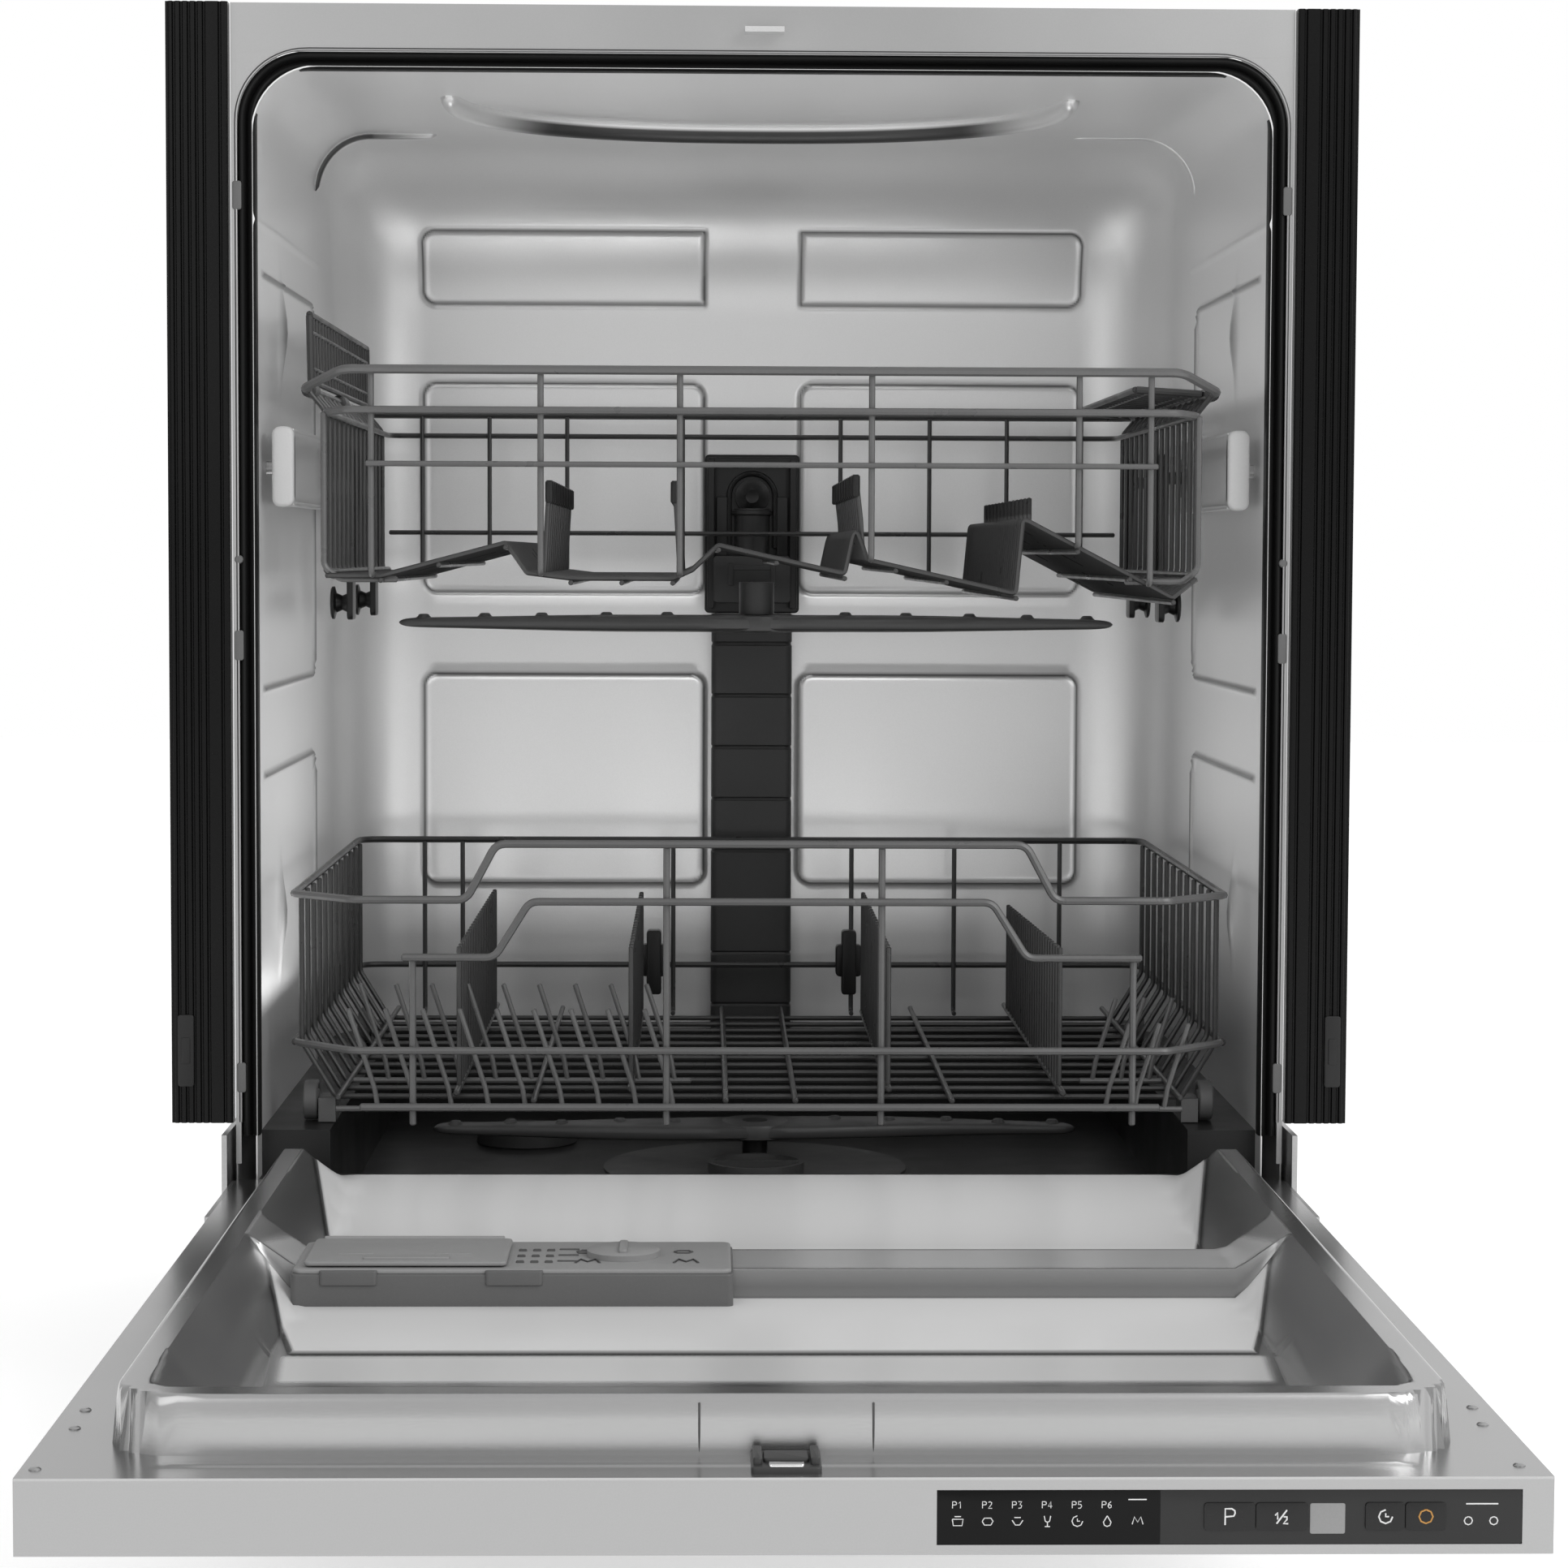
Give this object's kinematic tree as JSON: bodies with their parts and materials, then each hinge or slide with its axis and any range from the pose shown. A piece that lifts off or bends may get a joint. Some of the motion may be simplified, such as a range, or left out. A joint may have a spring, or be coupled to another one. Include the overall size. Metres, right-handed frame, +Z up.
{
  "type": "built in dishwasher",
  "caption": "Built in dishwasher with an open drop down door, two wire racks on rails and wheels, turning spray arms, a dispenser and a control strip on the door's edge.",
  "frame": {"origin": "on the floor, under the middle of the outline with the door open", "axes": "+X to the user's right, +Y into the cabinet, +Z up"},
  "size_m": [0.67, 1.235, 0.815],
  "materials": {
    "satin_steel": "satin stainless, fine grain",
    "case_steel": "galvanised sheet, matt",
    "black_rubber": "matt rubber",
    "black_plastic": "moulded, matt",
    "dark_plastic": "moulded, satin",
    "grey_plastic": "moulded, satin",
    "pale_plastic": "moulded, satin",
    "coated_wire": "grey nylon coating",
    "window_gloss": "gloss black",
    "key_plastic": "satin black",
    "felt_mat": "felt and bitumen",
    "spring_steel": "oiled",
    "pump_metal": "motor and pump casing"
  },
  "bodies": {
    "cabinet": {"front_frame": "satin_steel", "case_panels": "case_steel", "side_trims": "black_rubber", "tub_wrapper": "satin_steel", "tub_back_panel": "satin_steel", "tub_gasket": "black_rubber", "tub_floor": "black_plastic", "sump_housing": "black_plastic", "filter_plate": "satin_steel", "salt_container": "black_plastic", "base_pan": "black_plastic", "kick_plate": "black_plastic", "circulation_pump": "pump_metal", "drain_pump": "black_plastic", "water_inlet": "pale_plastic", "cable_gland": "black_plastic", "top_insulation": "felt_mat", "rear_duct": "dark_plastic", "spray_dock": "dark_plastic", "rail_axles": "case_steel", "hinge_brackets": "case_steel", "door_springs": "spring_steel", "latch_striker": "satin_steel"},
    "filter_cup": {"filter_cup": "dark_plastic"},
    "salt_cap": {"salt_cap": "pale_plastic"},
    "foot_front_left": {"foot_front_left": "black_plastic"},
    "foot_front_right": {"foot_front_right": "black_plastic"},
    "foot_rear": {"foot_rear": "black_plastic"},
    "rails": {"rail_channels": "case_steel", "rail_end_caps": "pale_plastic"},
    "rail_rollers_front": {"rail_rollers_front": "black_plastic"},
    "rail_rollers_rear": {"rail_rollers_rear": "black_plastic"},
    "lower_spray_arm": {"lower_spray_arm": "dark_plastic"},
    "door": {"hinge_arms": "case_steel", "door_outer_panel": "case_steel", "door_liner": "satin_steel", "control_fascia": "satin_steel", "control_window": "window_gloss", "latch_catch": "dark_plastic", "dispenser_body": "grey_plastic"},
    "key_program": {"key_program": "key_plastic"},
    "key_half_load": {"key_half_load": "key_plastic"},
    "key_delay": {"key_delay": "key_plastic"},
    "key_power": {"key_power": "key_plastic"},
    "detergent_lid": {"detergent_lid": "grey_plastic"},
    "rinse_aid_cap": {"rinse_aid_cap": "grey_plastic"},
    "upper_rack": {"upper_rack_basket": "coated_wire", "roller_hangers": "dark_plastic", "spray_feed_pipe": "dark_plastic"},
    "cup_shelf_left": {"cup_shelf_left": "dark_plastic"},
    "cup_shelf_right": {"cup_shelf_right": "dark_plastic"},
    "upper_rollers_front": {"upper_rollers_front": "black_plastic"},
    "upper_rollers_rear": {"upper_rollers_rear": "black_plastic"},
    "upper_spray_arm": {"upper_spray_arm": "dark_plastic"},
    "lower_rack": {"lower_rack_basket": "coated_wire", "wheel_holders": "dark_plastic"},
    "fold_tines_left": {"fold_tines_left": "coated_wire"},
    "fold_tines_right": {"fold_tines_right": "coated_wire"},
    "lower_wheels_front": {"lower_wheels_front": "dark_plastic"},
    "lower_wheels_rear": {"lower_wheels_rear": "dark_plastic"}
  },
  "joints": [
    {"name": "door_hinge", "type": "hinge", "parent": "cabinet", "child": "door", "pos_m": [0, 0.054, 0.1405], "axis": [-1, 0, 0], "range_deg": [0, 90], "stiffness_Nm_per_rad": 8, "springref_deg": 89.95, "deforming": ["door_springs"]},
    {"name": "upper_rack_slide", "type": "slide", "parent": "cabinet", "child": "upper_rack", "axis": [0, 1, 0], "range_m": [-0.45, 0]},
    {"name": "rails_slide", "type": "slide", "parent": "cabinet", "child": "rails", "axis": [0, 1, 0], "range_m": [-0.27, 0]},
    {"name": "rail_roller_front_spin", "type": "hinge", "parent": "cabinet", "child": "rail_rollers_front", "pos_m": [0, 0.1275, 0.557], "axis": [1, 0, 0], "range_deg": [0, 820]},
    {"name": "rail_roller_rear_spin", "type": "hinge", "parent": "cabinet", "child": "rail_rollers_rear", "pos_m": [0, 0.2175, 0.557], "axis": [1, 0, 0], "range_deg": [0, 820]},
    {"name": "upper_roller_front_spin", "type": "hinge", "parent": "upper_rack", "child": "upper_rollers_front", "pos_m": [0, 0.3075, 0.557], "axis": [1, 0, 0], "range_deg": [0, 550]},
    {"name": "upper_roller_rear_spin", "type": "hinge", "parent": "upper_rack", "child": "upper_rollers_rear", "pos_m": [0, 0.4675, 0.557], "axis": [1, 0, 0], "range_deg": [0, 550]},
    {"name": "upper_arm_spin", "type": "hinge", "parent": "upper_rack", "child": "upper_spray_arm", "pos_m": [0, 0.3035, 0.459], "axis": [0, 0, 1], "continuous": true},
    {"name": "cup_shelf_left_fold", "type": "hinge", "parent": "upper_rack", "child": "cup_shelf_left", "pos_m": [-0.262, 0.1295, 0.602], "axis": [0, 1, 0], "range_deg": [0, 90]},
    {"name": "cup_shelf_right_fold", "type": "hinge", "parent": "upper_rack", "child": "cup_shelf_right", "pos_m": [0.262, 0.1295, 0.602], "axis": [0, 1, 0], "range_deg": [0, 90]},
    {"name": "lower_rack_slide", "type": "slide", "parent": "cabinet", "child": "lower_rack", "axis": [0, 1, 0], "range_m": [-0.45, 0]},
    {"name": "lower_wheel_front_spin", "type": "hinge", "parent": "lower_rack", "child": "lower_wheels_front", "pos_m": [0, 0.1275, 0.1881], "axis": [1, 0, 0], "range_deg": [0, 2200]},
    {"name": "lower_wheel_rear_spin", "type": "hinge", "parent": "lower_rack", "child": "lower_wheels_rear", "pos_m": [0, 0.4675, 0.1881], "axis": [1, 0, 0], "range_deg": [0, 2200]},
    {"name": "fold_tines_left_fold", "type": "hinge", "parent": "lower_rack", "child": "fold_tines_left", "pos_m": [-0.075, 0.1005, 0.198], "axis": [0, -1, 0], "range_deg": [0, 85]},
    {"name": "fold_tines_right_fold", "type": "hinge", "parent": "lower_rack", "child": "fold_tines_right", "pos_m": [0.075, 0.1005, 0.198], "axis": [0, 1, 0], "range_deg": [0, 85]},
    {"name": "lower_arm_spin", "type": "hinge", "parent": "cabinet", "child": "lower_spray_arm", "pos_m": [0, 0.3035, 0.138], "axis": [0, 0, 1], "continuous": true},
    {"name": "filter_cup_twist", "type": "hinge", "parent": "cabinet", "child": "filter_cup", "pos_m": [0, 0.2495, 0.118], "axis": [0, 0, 1], "range_deg": [0, 90]},
    {"name": "salt_cap_twist", "type": "hinge", "parent": "cabinet", "child": "salt_cap", "pos_m": [-0.15, 0.4075, 0.118], "axis": [0, 0, 1], "range_deg": [0, 360]},
    {"name": "detergent_lid_flip", "type": "hinge", "parent": "door", "child": "detergent_lid", "pos_m": [-0.177, -0.1905, 0.1651], "axis": [-1, 0, 0], "range_deg": [0, 95]},
    {"name": "rinse_cap_twist", "type": "hinge", "parent": "door", "child": "rinse_aid_cap", "pos_m": [-0.072, -0.2205, 0.163], "axis": [0, 0, 1], "range_deg": [0, 90]},
    {"name": "foot_front_left_turn", "type": "hinge", "parent": "cabinet", "child": "foot_front_left", "pos_m": [-0.24, 0.1335, 0.02], "axis": [0, 0, 1], "continuous": true},
    {"name": "foot_front_right_turn", "type": "hinge", "parent": "cabinet", "child": "foot_front_right", "pos_m": [0.24, 0.1335, 0.02], "axis": [0, 0, 1], "continuous": true},
    {"name": "foot_rear_turn", "type": "hinge", "parent": "cabinet", "child": "foot_rear", "pos_m": [0, 0.5675, 0.02], "axis": [0, 0, 1], "continuous": true},
    {"name": "key_program_press", "type": "slide", "parent": "door", "child": "key_program", "axis": [0, 1, 0], "range_m": [0, 0.0008], "stiffness_N_per_m": 300},
    {"name": "key_half_load_press", "type": "slide", "parent": "door", "child": "key_half_load", "axis": [0, 1, 0], "range_m": [0, 0.0008], "stiffness_N_per_m": 300},
    {"name": "key_delay_press", "type": "slide", "parent": "door", "child": "key_delay", "axis": [0, 1, 0], "range_m": [0, 0.0008], "stiffness_N_per_m": 300},
    {"name": "key_power_press", "type": "slide", "parent": "door", "child": "key_power", "axis": [0, 1, 0], "range_m": [0, 0.0008], "stiffness_N_per_m": 300}
  ],
  "couplings": [
    {"joint": "rails_slide", "follows": "upper_rack_slide", "ratio": 0.6},
    {"joint": "rail_roller_front_spin", "follows": "upper_rack_slide", "rad_per_m": -31.25},
    {"joint": "rail_roller_rear_spin", "follows": "upper_rack_slide", "rad_per_m": -31.25},
    {"joint": "upper_roller_front_spin", "follows": "upper_rack_slide", "rad_per_m": -20.833},
    {"joint": "upper_roller_rear_spin", "follows": "upper_rack_slide", "rad_per_m": -20.833},
    {"joint": "lower_wheel_front_spin", "follows": "lower_rack_slide", "rad_per_m": -84.746},
    {"joint": "lower_wheel_rear_spin", "follows": "lower_rack_slide", "rad_per_m": -84.746}
  ]
}
